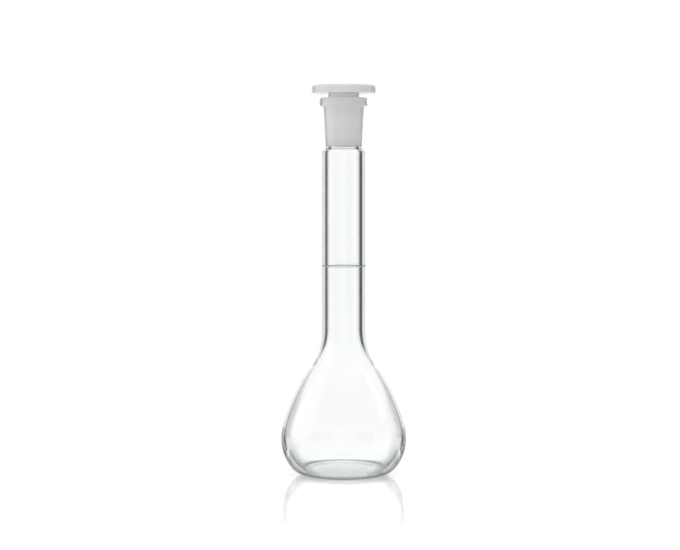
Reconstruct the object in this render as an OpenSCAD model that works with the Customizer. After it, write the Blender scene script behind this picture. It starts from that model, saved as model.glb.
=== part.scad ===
// Volumetric flask of 100 mL with a 14/23 ground socket and a moulded stopper.
// Millimetres. The origin is the centre of the foot, on the surface that the flask
// stands on, and +Z runs up the neck. Every piece is a body of revolution about Z,
// so each one is an outline in the plane of radius (x) and height (y), turned round.

/* [Bulb] */
// Largest outside diameter of the bulb
bulb_d = 59.6; // [58:0.2:61]
// Height of the largest diameter above the foot
bulb_z = 17.2; // [16.5:0.1:18]
// Radius of the round of the belly
belly_r = 21.4; // [20.6:0.2:22.2]
// Angle above the horizontal where the belly runs into the shoulder
shoulder_angle = 14.2; // [12:0.1:16]
// Radius of the long shallow round of the shoulder
shoulder_r = 84; // [78:0.5:92]
// Radius of the hollow flare between shoulder and neck, outside
flare_r = 28.6; // [25:0.2:32]
// Radius of the same flare inside
flare_bore_r = 30; // [26:0.5:34]
// Thickness of the blown wall at the largest diameter
wall = 1.7; // [1.5:0.1:1.9]
// How far the inside of the bulb is raised, which thins the shoulder and thickens the foot
cavity_rise = 1.1; // [0.8:0.1:1.3]

/* [Foot] */
// Radius of the outside corner between belly and foot
foot_corner_r = 10.6; // [9.5:0.1:11]
// Inner radius of the flat ring that the flask stands on
foot_ring_r = 15.3; // [14:0.1:16]
// Radius of the rounded inner edge of that ring
foot_edge_r = 1.5; // [1:0.1:2]
// Height of the pushed-up middle of the base
punt_rise = 1.8; // [1.2:0.1:2.4]
// Height of the inside floor at the middle
floor_z = 4; // [3.8:0.1:4.4]
// Height of the inside floor at its lowest, round the edge
floor_edge_z = 2.3; // [2:0.1:2.6]
// Radius of the inside corner between floor and wall
floor_corner_r = 4; // [3.5:0.1:4.5]

/* [Neck] */
// Outside diameter of the neck tube
neck_d = 20.6; // [19.8:0.1:21.4]
// Bore of the neck tube
neck_bore_d = 15.4; // [14.8:0.1:16]
// Height of the seal between neck and ground socket
weld_z = 155.2; // [154.6:0.1:155.6]
// Outside diameter at the seal
weld_d = 17.1; // [16.6:0.1:17.8]
// Radius of the rounded shoulder below the seal, outside
neck_round_r = 2.6; // [2.2:0.1:3]
// Radius of the same shoulder inside
throat_round_r = 2.6; // [2.2:0.1:3]
// Radius of the soft edges beside the seal
throat_edge_r = 0.5; // [0.4:0.1:0.7]

/* [Ground socket] */
// Widest diameter of the ground cone, at the mouth
cone_d = 14.5; // [14.3:0.1:14.7]
// Length of the ground cone
cone_len = 23; // [22:0.5:24]
// Taper of the cone: loss of diameter over length
taper = 0.1; // [0.095:0.005:0.105]
// Height of the top of the rim
rim_z = 179.2; // [178.8:0.1:182]
// Outside diameter of the bead rim
rim_d = 22.9; // [22:0.1:24]
// Height of the bead rim
rim_h = 4.1; // [3.6:0.1:4.6]
// Outside diameter of the socket just below the bead
socket_d = 19.2; // [18.6:0.1:19.6]
// Radius of the round of the bead
rim_round_r = 1.3; // [1:0.1:1.6]
// Radius of the fire-polished edge of the mouth
mouth_round_r = 0.7; // [0.5:0.1:0.9]

/* [Graduation ring] */
// Height of the line
ring_z = 99.6; // [90:0.2:110]
// Width of the line
ring_h = 0.4; // [0.3:0.1:0.8]
// How far the fired enamel stands proud of the glass
ring_t = 0.12; // [0.1:0.02:0.2]

/* [Stopper] */
// Diameter of the head
head_d = 30.4; // [26:0.2:34]
// Thickness of the head
head_t = 3.9; // [3.1:0.1:4.6]
// Gap between the rim and the underside of the head
head_gap = 2.1; // [1.8:0.1:3.2]
// Radius of the top edge of the head
head_edge_r = 1.1; // [0.6:0.1:1.4]
// Wall of the hollow plug
plug_wall = 1.3; // [1.1:0.1:1.8]
// Depth of the plug below the rim
plug_depth = 22.6; // [20:0.1:23]
// Free play between plug and ground cone, on the radius
plug_play = 0.03; // [0.02:0.01:0.05]

/* [Hidden] */
$fn = 240;
glass = [0.86, 0.93, 0.91, 0.45];
frosted_glass = [0.85, 0.88, 0.87, 0.8];
enamel = [0.55, 0.58, 0.58];
milky_plastic = [0.93, 0.94, 0.94];

// The rounds of an outline are circles that touch one another. Each is named by its
// centre [radius, height] and its own radius. First the outside of the bulb:
neck_r = neck_d / 2;
belly_c = [bulb_d / 2 - belly_r, bulb_z];
shoulder_c = belly_c - (shoulder_r - belly_r) * [cos(shoulder_angle), sin(shoulder_angle)];
flare_c = above(shoulder_c, shoulder_r + flare_r, neck_r + flare_r);
foot_corner_c = outward(belly_c, belly_r - foot_corner_r, foot_corner_r);

// Inside of the bulb: the same centres, all raised by as much
neck_bore_r = neck_bore_d / 2;
belly_in_c = belly_c + [0, cavity_rise];
belly_in_r = belly_r - wall;
shoulder_in_c = shoulder_c + [0, cavity_rise];
shoulder_in_r = shoulder_r - wall;
flare_in_c = above(shoulder_in_c, shoulder_in_r + flare_bore_r, neck_bore_r + flare_bore_r);
corner_c = outward(belly_in_c, belly_in_r - floor_corner_r, floor_edge_z + floor_corner_r);

// Floor inside and push-up underneath: shallow domes on the axis
floor_dome_r = dome_radius(corner_c, floor_corner_r, floor_z);
floor_dome_c = [0, floor_z - floor_dome_r];
foot_edge_c = [foot_ring_r, foot_edge_r];
punt_dome_r = dome_radius(foot_edge_c, foot_edge_r, punt_rise);
punt_dome_c = [0, punt_rise - punt_dome_r];

// Top of the neck: a round shoulder and a soft edge, outside and in the throat
cone_r = cone_d / 2;
cone_end_z = rim_z - cone_len;
throat_r = cone_radius(cone_end_z);
weld_r = weld_d / 2;
seal_c = [weld_r + throat_edge_r, weld_z];
neck_round_c = under(seal_c, neck_round_r + throat_edge_r, neck_r - neck_round_r);
throat_c = [throat_r + throat_edge_r, weld_z];
throat_round_c = under(throat_c, throat_round_r + throat_edge_r, neck_bore_r - throat_round_r);

// Bead rim and mouth of the socket
rim_r = rim_d / 2;
rim_low_z = rim_z - rim_h;
socket_r = socket_d / 2;
socket_fillet_r = 0.8;
mouth_z = rim_z - mouth_round_r;

// Head and plug of the stopper
head_r = head_d / 2;
head_low_z = rim_z + head_gap;
head_top_z = head_low_z + head_t;
head_low_edge_r = 0.4;
stem_fillet_r = 0.5;
plug_end_z = rim_z - plug_depth;
plug_end_round_r = 0.5;
plug_roof_z = head_low_z - 0.6;
plug_roof_round_r = 1.5;

// How far the chords of a round may stay inside it
chord_gap = 0.01;

// Radius of the ground cone at a height
function cone_radius(z) = cone_r - (rim_z - z) * taper / 2;

// Radius of the plug at a height
function plug_radius(z) = cone_radius(z) - plug_play;

// Centre at radius x, at a distance d above or below another centre
function above(c, d, x) = [x, c.y + sqrt(d ^ 2 - (x - c.x) ^ 2)];
function under(c, d, x) = [x, c.y - sqrt(d ^ 2 - (x - c.x) ^ 2)];

// Centre at height y, at a distance d outside another centre
function outward(c, d, y) = [c.x + sqrt(d ^ 2 - (c.y - y) ^ 2), y];

// Radius of a dome on the axis, z high, that touches the small circle (c, r) from below
function dome_radius(c, r, z) = (c.x ^ 2 + (c.y - z) ^ 2 - r ^ 2) / (2 * (r + z - c.y));

// Direction from one centre to another, in degrees
function heading(a, b) = atan2(b.y - a.y, b.x - a.x);

// Points along the circle (c, r) from angle a0 up to, but not at, angle a1
function arc(c, r, a0, a1) =
    let (steps = ceil(abs(a1 - a0) / (2 * acos(1 - chord_gap / r))))
    [for (i = [0:steps - 1])
        let (a = a0 + (a1 - a0) * i / steps)
        c + r * [cos(a), sin(a)]];

// Outside of the flask, from the middle of the base up to the seal
function flask_outside() = concat(
    arc(punt_dome_c, punt_dome_r, 90, heading(punt_dome_c, foot_edge_c)),
    arc(foot_edge_c, foot_edge_r, heading(foot_edge_c, punt_dome_c), -90),
    [[foot_ring_r, 0]],
    arc(foot_corner_c, foot_corner_r, -90, heading(belly_c, foot_corner_c)),
    arc(belly_c, belly_r, heading(belly_c, foot_corner_c), shoulder_angle),
    arc(shoulder_c, shoulder_r, shoulder_angle, heading(shoulder_c, flare_c)),
    arc(flare_c, flare_r, 180 + heading(shoulder_c, flare_c), 180),
    [[neck_r, flare_c.y]],
    arc(neck_round_c, neck_round_r, 0, heading(neck_round_c, seal_c)),
    arc(seal_c, throat_edge_r, 180 + heading(neck_round_c, seal_c), 180),
    [[weld_r, weld_z]]
);

// Inside of the flask, from the seal down to the middle of the floor
function flask_inside() = concat(
    arc(throat_c, throat_edge_r, 180, 180 + heading(throat_round_c, throat_c)),
    arc(throat_round_c, throat_round_r, heading(throat_round_c, throat_c), 0),
    [[neck_bore_r, throat_round_c.y]],
    arc(flare_in_c, flare_bore_r, 180, 180 + heading(shoulder_in_c, flare_in_c)),
    arc(shoulder_in_c, shoulder_in_r, heading(shoulder_in_c, flare_in_c), shoulder_angle),
    arc(belly_in_c, belly_in_r, shoulder_angle, heading(belly_in_c, corner_c)),
    arc(corner_c, floor_corner_r, heading(belly_in_c, corner_c), heading(corner_c, floor_dome_c)),
    arc(floor_dome_c, floor_dome_r, heading(floor_dome_c, corner_c), 90),
    [[0, floor_z]]
);

// Blown bulb, foot and neck, in one piece
module flask_body() {
    color(glass)
        rotate_extrude()
            polygon(concat(flask_outside(), flask_inside()));
}

// Standard conical socket with its bead, sealed onto the neck
module ground_socket() {
    bead_x = rim_r - rim_round_r;
    bead_low_c = [bead_x, rim_low_z + rim_round_r];
    fillet_c = under(bead_low_c, rim_round_r + socket_fillet_r, socket_r + socket_fillet_r);
    mouth_c = [cone_radius(mouth_z) + mouth_round_r, mouth_z];
    color(frosted_glass)
        rotate_extrude()
            polygon(concat(
                [[throat_r, weld_z], [weld_r, weld_z]],
                arc(fillet_c, socket_fillet_r, 180, heading(fillet_c, bead_low_c)),
                arc(bead_low_c, rim_round_r, heading(bead_low_c, fillet_c), 0),
                [[rim_r, bead_low_c.y]],
                arc([bead_x, rim_z - rim_round_r], rim_round_r, 0, 90),
                [[bead_x, rim_z]],
                arc(mouth_c, mouth_round_r, 90, 180),
                [[cone_radius(mouth_z), mouth_z], [throat_r, cone_end_z]]
            ));
}

// Fired enamel line round the neck
module graduation_ring() {
    color(enamel)
        rotate_extrude()
            translate([neck_r, ring_z - ring_h / 2])
                square([ring_t, ring_h]);
}

// Moulded stopper: flat round head and hollow tapered plug, in one piece
module stopper() {
    end_c = [plug_radius(plug_end_z) - plug_end_round_r, plug_end_z + plug_end_round_r];
    fillet_c = [plug_radius(head_low_z) + stem_fillet_r, head_low_z - stem_fillet_r];
    roof_r = plug_radius(plug_roof_z) - plug_wall;
    roof_c = [roof_r - plug_roof_round_r, plug_roof_z - plug_roof_round_r];
    color(milky_plastic)
        rotate_extrude()
            polygon(concat(
                [[plug_radius(plug_end_z) - plug_wall, plug_end_z]],
                arc(end_c, plug_end_round_r, -90, 0),
                [[end_c.x + plug_end_round_r, end_c.y]],
                arc(fillet_c, stem_fillet_r, 180, 90),
                [[fillet_c.x, head_low_z]],
                arc([head_r - head_low_edge_r, head_low_z + head_low_edge_r], head_low_edge_r, -90, 0),
                [[head_r, head_low_z + head_low_edge_r]],
                arc([head_r - head_edge_r, head_top_z - head_edge_r], head_edge_r, 0, 90),
                [[head_r - head_edge_r, head_top_z], [0, head_top_z], [0, plug_roof_z]],
                arc(roof_c, plug_roof_round_r, 90, 0),
                [[roof_r, roof_c.y]]
            ));
}

flask_body();
ground_socket();
graduation_ring();
stopper();
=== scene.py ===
"""Volumetric flask of 100 mL with a ground socket and a moulded stopper, on a pale table.

Every piece is a body of revolution about the Z axis. Its outline is read from the CAD node
that it stands for, smoothed, and turned round the axis, so it has the CAD's own size.
"""
import math

import bpy
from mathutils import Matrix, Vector


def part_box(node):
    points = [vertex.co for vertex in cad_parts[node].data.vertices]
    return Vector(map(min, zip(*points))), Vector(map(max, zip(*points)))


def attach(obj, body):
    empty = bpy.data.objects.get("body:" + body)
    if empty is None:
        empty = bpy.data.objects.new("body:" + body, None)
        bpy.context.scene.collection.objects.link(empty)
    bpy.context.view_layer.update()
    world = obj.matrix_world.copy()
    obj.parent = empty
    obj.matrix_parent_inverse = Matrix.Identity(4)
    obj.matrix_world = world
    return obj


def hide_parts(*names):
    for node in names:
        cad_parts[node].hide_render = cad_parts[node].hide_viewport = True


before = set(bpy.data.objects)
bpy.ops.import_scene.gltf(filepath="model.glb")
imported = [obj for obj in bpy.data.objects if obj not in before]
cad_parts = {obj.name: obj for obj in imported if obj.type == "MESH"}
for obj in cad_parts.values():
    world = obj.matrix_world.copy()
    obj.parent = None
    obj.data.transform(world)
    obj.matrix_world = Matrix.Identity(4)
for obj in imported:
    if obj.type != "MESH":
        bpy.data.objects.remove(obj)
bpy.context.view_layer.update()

MM = 0.001
AROUND = 192            # faces round the axis
ALONG = 3               # faces per chord of the CAD outline
SAME = 0.004 * MM       # rings of the CAD mesh closer than this are one ring
AT_END = 0.001          # a point within this share of a segment's end is at its end
NO_TURN = 0.002         # an outline that turns less than this, in radians, is straight
SHARP = math.radians(32)  # a turn of the outline above this stays a sharp corner

BOROSILICATE_IOR = 1.473
POLYETHYLENE_IOR = 1.51
GLASS_COLOUR = (0.985, 0.995, 0.991, 1)
GROUND_COLOUR = (0.99, 0.995, 0.99, 1)
ENAMEL_DARK = (0.36, 0.38, 0.38, 1)
ENAMEL_LIGHT = (0.47, 0.49, 0.49, 1)
WHITE = (1, 1, 1, 1)

# Painted shade: the glass of the foot is painted darker where it is seen edge on, for the dark lines at its
# edges. Each pair is where that starts and is full.
EDGE_SHADE_COLOUR = (0.0, 0.005, 0.01, 1)
EDGE_START = 0.4        # in shares of edge on: 0 is seen face on, 1 is edge on
EDGE_FULL = 0.8
THICK_TOP = 14 * MM     # height
THICK_FULL = 9 * MM
THICK_INNER = 16 * MM   # distance from the axis
THICK_OUTER = 20 * MM

# All of the body's glass absorbs a trace of light.
ABSORPTION_COLOUR = (0.35, 0.5, 0.52, 1)
ABSORPTION = 9          # per metre


# ---------------------------------------------------------------- outlines

def rings_of(node):
    """The rings of the CAD node's mesh as (radius, height) points, and which of them are joined."""
    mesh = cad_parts[node].data
    rings = []
    number = {}
    for v in mesh.vertices:
        point = Vector((math.hypot(v.co.x, v.co.y), v.co.z))
        for i, ring in enumerate(rings):
            if (ring - point).length < SAME:
                number[v.index] = i
                break
        else:
            number[v.index] = len(rings)
            rings.append(point)
    joined = set()
    for edge in mesh.edges:
        a, b = (number[i] for i in edge.vertices)
        if a != b:
            joined.add((min(a, b), max(a, b)))
    return rings, joined


def on_segment(p, a, b):
    """True if p lies on the straight line between a and b."""
    along = b - a
    t = (p - a).dot(along) / along.length_squared
    return AT_END < t < 1 - AT_END and (a + t * along - p).length < SAME


def outline(node):
    """The CAD node's outline as ordered (radius, height) points, and whether it closes on itself."""
    rings, joined = rings_of(node)
    near = {i: [] for i in range(len(rings))}
    for a, b in joined:
        if not any(on_segment(rings[c], rings[a], rings[b]) for c in near if c not in (a, b)):
            near[a].append(b)
            near[b].append(a)
    for i in [i for i in near if len(near[i]) == 1 and rings[i].x > SAME]:
        near[len(rings)] = [i]
        near[i].append(len(rings))
        rings.append(Vector((0, rings[i].y)))
    ends = [i for i in near if rings[i].x < SAME]
    start = min(ends or near, key=lambda i: rings[i].y)
    order = [start]
    step = min(near[start], key=lambda i: rings[i].y)
    while step is not None:
        order.append(step)
        ahead = [i for i in near[step] if i not in order]
        step = ahead[0] if ahead else None
    points = [rings[i] for i in order]
    if area(points) < 0:
        points.reverse()
    return drop_straight(points, not ends), not ends


def area(points):
    """Twice the area that the points go round, above zero if they go round it to the left."""
    return sum(p.x * q.y - q.x * p.y for p, q in zip(points, points[1:] + points[:1]))


def drop_straight(points, closed):
    """The outline without the points that lie on a straight line between their neighbours."""
    kept = []
    for i, p in enumerate(points):
        inside = closed or 0 < i < len(points) - 1
        if not (inside and on_segment(p, points[i - 1], points[(i + 1) % len(points)])):
            kept.append(p)
    return kept


def turn(a, b):
    """The angle between two directions, in radians."""
    return abs(math.atan2(a.x * b.y - a.y * b.x, a.dot(b)))


def smooth(points, closed):
    """The outline with its chords rounded back to the arcs that they stand for."""
    count = len(points)
    fine = []
    for i in range(count if closed else count - 1):
        p, q = points[i], points[(i + 1) % count]
        before = points[i - 1] if closed or i else Vector((-q.x, q.y))
        after = points[(i + 2) % count] if closed or i + 2 < count else Vector((-p.x, p.y))
        chord = q - p
        leave = (q - before).normalized() if turn(p - before, chord) < SHARP else None
        arrive = (after - p).normalized() if turn(chord, after - q) < SHARP else None
        along = chord.normalized()
        if leave is None:
            leave = mirrored(arrive, along) if arrive else along
        if arrive is None:
            arrive = mirrored(leave, along)
        steps = ALONG if turn(leave, arrive) > NO_TURN else 1
        for k in range(steps):
            fine.append(hermite(p, q, leave * chord.length, arrive * chord.length, k / steps))
    if not closed:
        fine.append(points[-1])
    return fine


def mirrored(direction, chord):
    """The direction at one end of an arc, from that at its other end."""
    return 2 * direction.dot(chord) * chord - direction


def hermite(p, q, leave, arrive, t):
    """Point at t on the curve from p to q with those speeds at its ends."""
    return ((2 * t ** 3 - 3 * t ** 2 + 1) * p + (t ** 3 - 2 * t ** 2 + t) * leave
            + (3 * t ** 2 - 2 * t ** 3) * q + (t ** 3 - t ** 2) * arrive)


# ---------------------------------------------------------------- turned meshes

def turned(name, node, materials, paint):
    """The node's outline turned round the axis.

    paint(middle, normal) gives the number of a face's material.
    """
    points, closed = outline(node)
    points = smooth(points, closed)
    verts = []
    rows = []
    for p in points:
        if p.x < SAME:
            rows.append([len(verts)] * AROUND)
            verts.append((0, 0, p.y))
            continue
        rows.append(list(range(len(verts), len(verts) + AROUND)))
        for k in range(AROUND):
            a = 2 * math.pi * k / AROUND
            verts.append((p.x * math.cos(a), p.x * math.sin(a), p.y))
    faces = []
    numbers = []
    pairs = list(zip(points, points[1:] + points[:1], rows, rows[1:] + rows[:1]))
    for p, q, low, high in pairs if closed else pairs[:-1]:
        number = paint((p + q) / 2, Vector((q.y - p.y, p.x - q.x)).normalized())
        for k in range(AROUND):
            n = (k + 1) % AROUND
            corners = (low[k], low[n], high[n], high[k])
            faces.append(tuple(dict.fromkeys(corners)))
            numbers.append(number)
    mesh = bpy.data.meshes.new(name)
    mesh.from_pydata(verts, [], faces)
    for material in materials:
        mesh.materials.append(material)
    mesh.polygons.foreach_set("material_index", numbers)
    mesh.polygons.foreach_set("use_smooth", [True] * len(faces))
    mesh.set_sharp_from_angle(angle=SHARP)
    mesh.update()
    obj = bpy.data.objects.new(name, mesh)
    bpy.context.scene.collection.objects.link(obj)
    return obj


# ---------------------------------------------------------------- materials

NOISE_LOW = 0.3
NOISE_HIGH = 0.7


def shader(name):
    """A new material, its node tree and its Principled shader."""
    material = bpy.data.materials.new(name)
    material.use_nodes = True
    tree = material.node_tree
    return material, tree, tree.nodes["Principled BSDF"]


def link(tree, a, b):
    """Joins output a to input b."""
    tree.links.new(a, b)


def noise(tree, scale, detail):
    """Noise that is fixed to the object, scale bumps per metre."""
    place = tree.nodes.new("ShaderNodeTexCoord")
    texture = tree.nodes.new("ShaderNodeTexNoise")
    texture.inputs["Scale"].default_value = scale
    texture.inputs["Detail"].default_value = detail
    link(tree, place.outputs["Object"], texture.inputs["Vector"])
    return texture.outputs["Fac"]


def ramp(tree, source, low, high):
    """The range where most of a noise lies, stretched over low to high."""
    node = tree.nodes.new("ShaderNodeMapRange")
    node.inputs["From Min"].default_value = NOISE_LOW
    node.inputs["From Max"].default_value = NOISE_HIGH
    node.inputs["To Min"].default_value = low
    node.inputs["To Max"].default_value = high
    link(tree, source, node.inputs["Value"])
    return node.outputs["Result"]


def stretch(tree, source, start, end, low, high):
    """A smooth step from low, where the source is at start, to high at end."""
    node = tree.nodes.new("ShaderNodeMapRange")
    node.interpolation_type = "SMOOTHSTEP"
    node.inputs["From Min"].default_value = start
    node.inputs["From Max"].default_value = end
    node.inputs["To Min"].default_value = low
    node.inputs["To Max"].default_value = high
    link(tree, source, node.inputs["Value"])
    return node.outputs["Result"]


def mixed(tree, share, a, b):
    """The colour that is a where share is 0, and b where it is 1."""
    mix = tree.nodes.new("ShaderNodeMix")
    mix.data_type = "RGBA"
    mix.inputs["A"].default_value = a
    mix.inputs["B"].default_value = b
    link(tree, share, mix.inputs["Factor"])
    return mix.outputs["Result"]


def level_part(tree, vector):
    """The vector without its height."""
    level = tree.nodes.new("ShaderNodeVectorMath")
    level.operation = "MULTIPLY"
    level.inputs[1].default_value = (1, 1, 0)
    link(tree, vector, level.inputs[0])
    return level.outputs["Vector"]


def combine(tree, operation, a, b):
    """One value from two, by the Math node's operation."""
    node = tree.nodes.new("ShaderNodeMath")
    node.operation = operation
    link(tree, a, node.inputs[0])
    link(tree, b, node.inputs[1])
    return node.outputs["Value"]


def bump(tree, bsdf, height, depth):
    """Surface relief on the shader, depth in metres."""
    node = tree.nodes.new("ShaderNodeBump")
    node.inputs["Strength"].default_value = 1
    node.inputs["Distance"].default_value = depth
    link(tree, height, node.inputs["Height"])
    link(tree, node.outputs["Normal"], bsdf.inputs["Normal"])


def clear_glass(name):
    """Blown borosilicate glass with the slow ripple of blown work."""
    material, tree, bsdf = shader(name)
    # Painted shade: the base colour turns dark where the foot's glass is seen edge on.
    link(tree, mixed(tree, painted_edge_shade(tree), GLASS_COLOUR, EDGE_SHADE_COLOUR), bsdf.inputs["Base Color"])
    bsdf.inputs["Transmission Weight"].default_value = 1
    bsdf.inputs["IOR"].default_value = BOROSILICATE_IOR
    bsdf.inputs["Roughness"].default_value = 0
    bump(tree, bsdf, noise(tree, scale=60, detail=1), depth=0.02 * MM)
    return material


def painted_edge_shade(tree):
    """How much painted shade darkens the glass of the foot where it is seen edge on."""
    facing = tree.nodes.new("ShaderNodeLayerWeight")
    facing.inputs["Blend"].default_value = 0.5
    place = tree.nodes.new("ShaderNodeTexCoord")
    height = tree.nodes.new("ShaderNodeSeparateXYZ")
    link(tree, place.outputs["Object"], height.inputs["Vector"])
    radius = tree.nodes.new("ShaderNodeVectorMath")
    radius.operation = "LENGTH"
    link(tree, level_part(tree, place.outputs["Object"]), radius.inputs[0])
    edge_on = stretch(tree, facing.outputs["Facing"], EDGE_START, EDGE_FULL, 0, 1)
    low_down = stretch(tree, height.outputs["Z"], THICK_TOP, THICK_FULL, 0, 1)
    outer = stretch(tree, radius.outputs["Value"], THICK_INNER, THICK_OUTER, 0, 1)
    return combine(tree, "MULTIPLY", combine(tree, "MULTIPLY", edge_on, low_down), outer)


def absorb(material):
    """The material with a trace of grey-green inside, so that long ways through it are darker."""
    tree = material.node_tree
    inside = tree.nodes.new("ShaderNodeVolumeAbsorption")
    inside.inputs["Color"].default_value = ABSORPTION_COLOUR
    inside.inputs["Density"].default_value = ABSORPTION
    link(tree, inside.outputs["Volume"], tree.nodes["Material Output"].inputs["Volume"])
    return material


def ground_glass():
    """The matt inside of the socket, ground with grit."""
    material, tree, bsdf = shader("ground_glass")
    bsdf.inputs["Base Color"].default_value = GROUND_COLOUR
    bsdf.inputs["Transmission Weight"].default_value = 0.03
    bsdf.inputs["IOR"].default_value = BOROSILICATE_IOR
    grit = noise(tree, scale=900, detail=3)
    link(tree, ramp(tree, grit, low=0.38, high=0.6), bsdf.inputs["Roughness"])
    bump(tree, bsdf, noise(tree, scale=6000, detail=2), depth=0.02 * MM)
    return material


def enamel():
    """Fired grey enamel, a little uneven."""
    material, tree, bsdf = shader("enamel_mark")
    cloud = ramp(tree, noise(tree, scale=700, detail=2), low=0, high=1)
    link(tree, mixed(tree, cloud, ENAMEL_DARK, ENAMEL_LIGHT), bsdf.inputs["Base Color"])
    bsdf.inputs["Roughness"].default_value = 0.35
    return material


def milky_plastic(name, lightness):
    """Natural polyethylene: milky, a little see-through, with a satin moulded skin."""
    material, tree, bsdf = shader(name)
    darker = (lightness - 0.04, lightness - 0.03, lightness - 0.03, 1)
    lighter = (lightness, lightness, lightness, 1)
    cloud = ramp(tree, noise(tree, scale=120, detail=2), low=0, high=1)
    link(tree, mixed(tree, cloud, darker, lighter), bsdf.inputs["Base Color"])
    bsdf.inputs["IOR"].default_value = POLYETHYLENE_IOR
    bsdf.inputs["Transmission Weight"].default_value = 0.25
    bsdf.inputs["Subsurface Weight"].default_value = 0.5
    bsdf.inputs["Subsurface Radius"].default_value = (1, 1, 1)
    bsdf.inputs["Subsurface Scale"].default_value = 2 * MM
    skin = noise(tree, scale=500, detail=3)
    link(tree, ramp(tree, skin, low=0.07, high=0.13), bsdf.inputs["Roughness"])
    bump(tree, bsdf, noise(tree, scale=1500, detail=2), depth=0.01 * MM)
    return material


def pale(name, grey, roughness, painted_glow):
    """A pale, faintly mottled surface of the set, with painted light: it glows a little though it is no
    lamp, which washes out the flask's shadow on it.
    """
    material, tree, bsdf = shader(name)
    darker = (grey * 0.99, grey * 0.99, grey * 0.99, 1)
    lighter = (grey, grey, grey, 1)
    cloud = ramp(tree, noise(tree, scale=12, detail=2), low=0, high=1)
    link(tree, mixed(tree, cloud, darker, lighter), bsdf.inputs["Base Color"])
    bsdf.inputs["Roughness"].default_value = roughness
    bsdf.inputs["Emission Color"].default_value = WHITE
    bsdf.inputs["Emission Strength"].default_value = painted_glow
    return material


# ---------------------------------------------------------------- the flask

body_glass = absorb(clear_glass("body_glass"))
glass = clear_glass("clear_glass")
ground = ground_glass()

CONE_LENGTH = 23 * MM       # of the ground zone, from the rim down
CONE_RADIUS = 7.3 * MM      # the cone is nowhere wider than this
LEVEL_INWARD = -0.99        # a normal's radial part below this faces the axis almost level
HEAD_GAP = 2.1 * MM         # between the rim and the stopper's head
STEM_RADIUS = 8 * MM        # what is nearer to the axis, below the head, is the plug
HOLLOW_RADIUS = 7 * MM      # the hollow of the plug is nowhere wider than this

rim_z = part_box("ground_socket")[1].z
cone_end = rim_z - CONE_LENGTH
head_low_z = rim_z + HEAD_GAP

# Material numbers of the socket and of the stopper.
POLISHED, MATT = 0, 1
HEAD, PLUG = 0, 1


def socket_face(middle, normal):
    """The cone is matt, and the rest of the socket is polished."""
    inward = normal.x < LEVEL_INWARD and middle.x < CONE_RADIUS
    return MATT if inward and middle.y > cone_end else POLISHED


def stopper_face(middle, normal):
    """Painted light: the plug and the roof of its hollow, which the head shades, get a paler copy of the
    head's plastic.
    """
    stem = middle.x < STEM_RADIUS and middle.y < head_low_z
    roof = middle.x < HOLLOW_RADIUS and normal.y < 0
    return PLUG if stem or roof else HEAD


def one_material(middle, normal):
    """Every face has the first material."""
    return 0


flask_glass = turned("flask_glass", "flask_body", [body_glass], one_material)
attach(flask_glass, "flask")
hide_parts("flask_body")

socket_glass = turned("socket_glass", "ground_socket", [glass, ground], socket_face)
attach(socket_glass, "flask")
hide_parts("ground_socket")

ring_mark = turned("ring_mark", "graduation_ring", [enamel()], one_material)
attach(ring_mark, "flask")
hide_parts("graduation_ring")

# Painted light: one plastic in two lightnesses, the plug paler to make up for the shade under the head.
milky_head = milky_plastic("milky_head", lightness=0.76)
milky_plug_painted_light = milky_plastic("milky_plug_painted_light", lightness=0.995)
stopper_moulding = turned("stopper_moulding", "stopper", [milky_head, milky_plug_painted_light], stopper_face)
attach(stopper_moulding, "stopper")
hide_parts("stopper")


# ---------------------------------------------------------------- the set

TABLE_SIDE = 0.8            # how far the table goes to the left, to the right and forward
TABLE_BACK = 16.5 * MM      # behind the flask's axis, where the darker strip along its back edge starts
TABLE_END = 19.5 * MM       # and where that strip and the table end
TABLE_DEPTH = 10 * MM
BLOCK_FACES = [(0, 2, 3, 1), (4, 5, 7, 6), (0, 1, 5, 4), (2, 6, 7, 3), (0, 4, 6, 2), (1, 3, 7, 5)]


def slab(name, front, back, material):
    """A slab of the table from front to back, with its edges a little rounded."""
    mesh = bpy.data.meshes.new(name)
    verts = [(x, y, z) for z in (-TABLE_DEPTH, 0) for y in (front, back) for x in (-TABLE_SIDE, TABLE_SIDE)]
    mesh.from_pydata(verts, [], BLOCK_FACES)
    mesh.materials.append(material)
    obj = bpy.data.objects.new(name, mesh)
    bpy.context.scene.collection.objects.link(obj)
    soften = obj.modifiers.new("round", "BEVEL")
    soften.width = 0.4 * MM
    soften.segments = 3


# Painted light: both slabs glow a little, so the shadow under the flask is washed out.
slab("table", -TABLE_SIDE, TABLE_BACK, pale("table_white", grey=0.62, roughness=0.03, painted_glow=0.3))
slab("table_edge", TABLE_BACK, TABLE_END, pale("table_edge", grey=0.5, roughness=0.1, painted_glow=0.27))


# ---------------------------------------------------------------- the light

# Brightness, where 1 is white. Side angles are from straight behind or straight in front of the
# flask, and the others are from level, upward. Each pair is where a change starts and is full.
BACKDROP = 1.0                          # white screens behind and in front
BACKDROP_FULL = math.radians(16)
BACKDROP_END = math.radians(38)
DARK = 0.03                             # the gaps beside them, which draw the lines in the glass
LOW_START = math.radians(-9)            # below this the screens are narrower
LOW_FULL = math.radians(-12)
NARROWER = 0.03                         # by this much of the side angle's cosine
ROOM = 1.04                             # pale walls at the sides
ROOM_START = math.radians(54)
ROOM_FULL = math.radians(70)
LEFT = 0.4                              # how much brighter the left wall is than the mean
FLOOR = 0.9                             # the floor beyond the table
FLOOR_START = math.radians(34)          # seen from this side angle on, where it is below LOW_START
FLOOR_FULL = math.radians(43)
DEEP_START = math.radians(-20)          # and seen all round below this
DEEP_FULL = math.radians(-26)
UPPER_START = math.radians(12)          # above this all sides are as bright as the walls
UPPER_FULL = math.radians(22)
CEILING = 1.4
CEILING_START = math.radians(42)
CEILING_FULL = math.radians(52)
FILL = 0.72                             # nothing in front is darker than this
FILL_START = 0                          # in shares of straight behind: -1 is straight in front
FILL_FULL = -0.3


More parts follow.
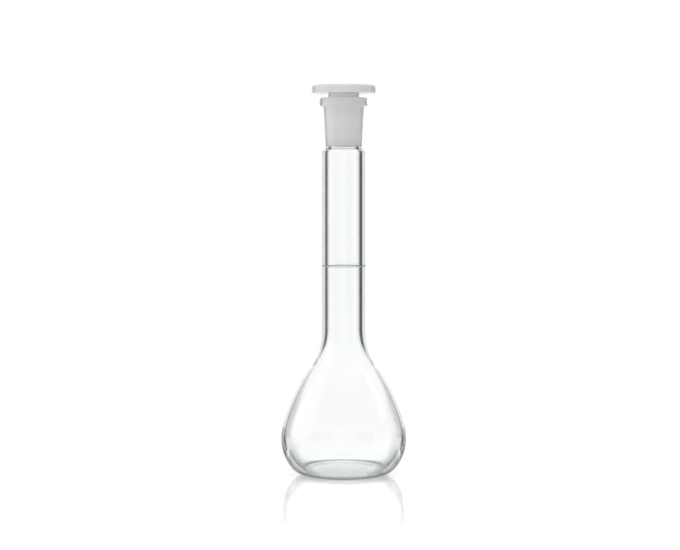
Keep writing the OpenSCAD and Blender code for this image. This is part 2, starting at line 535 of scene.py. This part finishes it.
def studio():
    """Soft light from all round: screens, walls, floor and ceiling, as a world shader."""
    world = bpy.data.worlds.new("studio")
    bpy.context.scene.world = world
    world.use_nodes = True
    tree = world.node_tree
    place = tree.nodes.new("ShaderNodeTexCoord")
    compass = tree.nodes.new("ShaderNodeVectorMath")
    compass.operation = "NORMALIZE"
    link(tree, level_part(tree, place.outputs["Generated"]), compass.inputs[0])
    way = tree.nodes.new("ShaderNodeSeparateXYZ")
    link(tree, compass.outputs["Vector"], way.inputs["Vector"])
    direction = tree.nodes.new("ShaderNodeSeparateXYZ")
    link(tree, place.outputs["Generated"], direction.inputs["Vector"])
    height = direction.outputs["Z"]
    straight = tree.nodes.new("ShaderNodeMath")
    straight.operation = "ABSOLUTE"
    link(tree, way.outputs["Y"], straight.inputs[0])
    straight = straight.outputs["Value"]

    narrow = stretch(tree, height, math.sin(LOW_START), math.sin(LOW_FULL), 0, NARROWER)
    spread = combine(tree, "SUBTRACT", straight, narrow)
    screens = stretch(tree, spread, math.cos(BACKDROP_END), math.cos(BACKDROP_FULL), DARK, BACKDROP)
    walls = stretch(tree, straight, math.cos(ROOM_START), math.cos(ROOM_FULL), DARK, ROOM)
    side = stretch(tree, way.outputs["X"], -1, 1, 1 + LEFT, 1 - LEFT)
    walls = combine(tree, "MULTIPLY", walls, side)
    upper = stretch(tree, height, math.sin(UPPER_START), math.sin(UPPER_FULL), 0, ROOM)
    ceiling = stretch(tree, height, math.sin(CEILING_START), math.sin(CEILING_FULL), 0, CEILING)
    low_down = stretch(tree, height, math.sin(LOW_START), math.sin(LOW_FULL), 0, 1)
    beside = stretch(tree, straight, math.cos(FLOOR_START), math.cos(FLOOR_FULL), 0, FLOOR)
    beside = combine(tree, "MULTIPLY", beside, low_down)
    deep = stretch(tree, height, math.sin(DEEP_START), math.sin(DEEP_FULL), 0, FLOOR)
    fill = stretch(tree, way.outputs["Y"], FILL_START, FILL_FULL, 0, FILL)

    light = screens
    for part in (walls, upper, ceiling, beside, deep, fill):
        light = combine(tree, "MAXIMUM", light, part)
    link(tree, light, tree.nodes["Background"].inputs["Strength"])
    tree.nodes["Background"].inputs["Color"].default_value = WHITE


studio()


# ---------------------------------------------------------------- camera

FOCAL_LENGTH = 106          # millimetres, on a sensor 36 mm wide
EYE = Vector((-1.74 * MM, -0.95, 0.142))
AIM = Vector((-1.74 * MM, 0, 0.0953))

camera = bpy.data.objects.new("camera", bpy.data.cameras.new("camera"))
bpy.context.scene.collection.objects.link(camera)
bpy.context.scene.camera = camera
camera.data.sensor_width = 36
camera.data.lens = FOCAL_LENGTH
camera.data.clip_start = 0.05
camera.data.clip_end = 50
camera.location = EYE
camera.rotation_mode = "QUATERNION"
camera.rotation_quaternion = (AIM - EYE).to_track_quat("-Z", "Y")

# Many bounces, because light is bent and reflected many times on its way through the glass.
scene = bpy.context.scene
scene.view_settings.view_transform = "Standard"
scene.cycles.max_bounces = 32
scene.cycles.diffuse_bounces = 16
scene.cycles.glossy_bounces = 24
scene.cycles.transmission_bounces = 24
scene.cycles.transparent_max_bounces = 16
scene.cycles.use_denoising = True
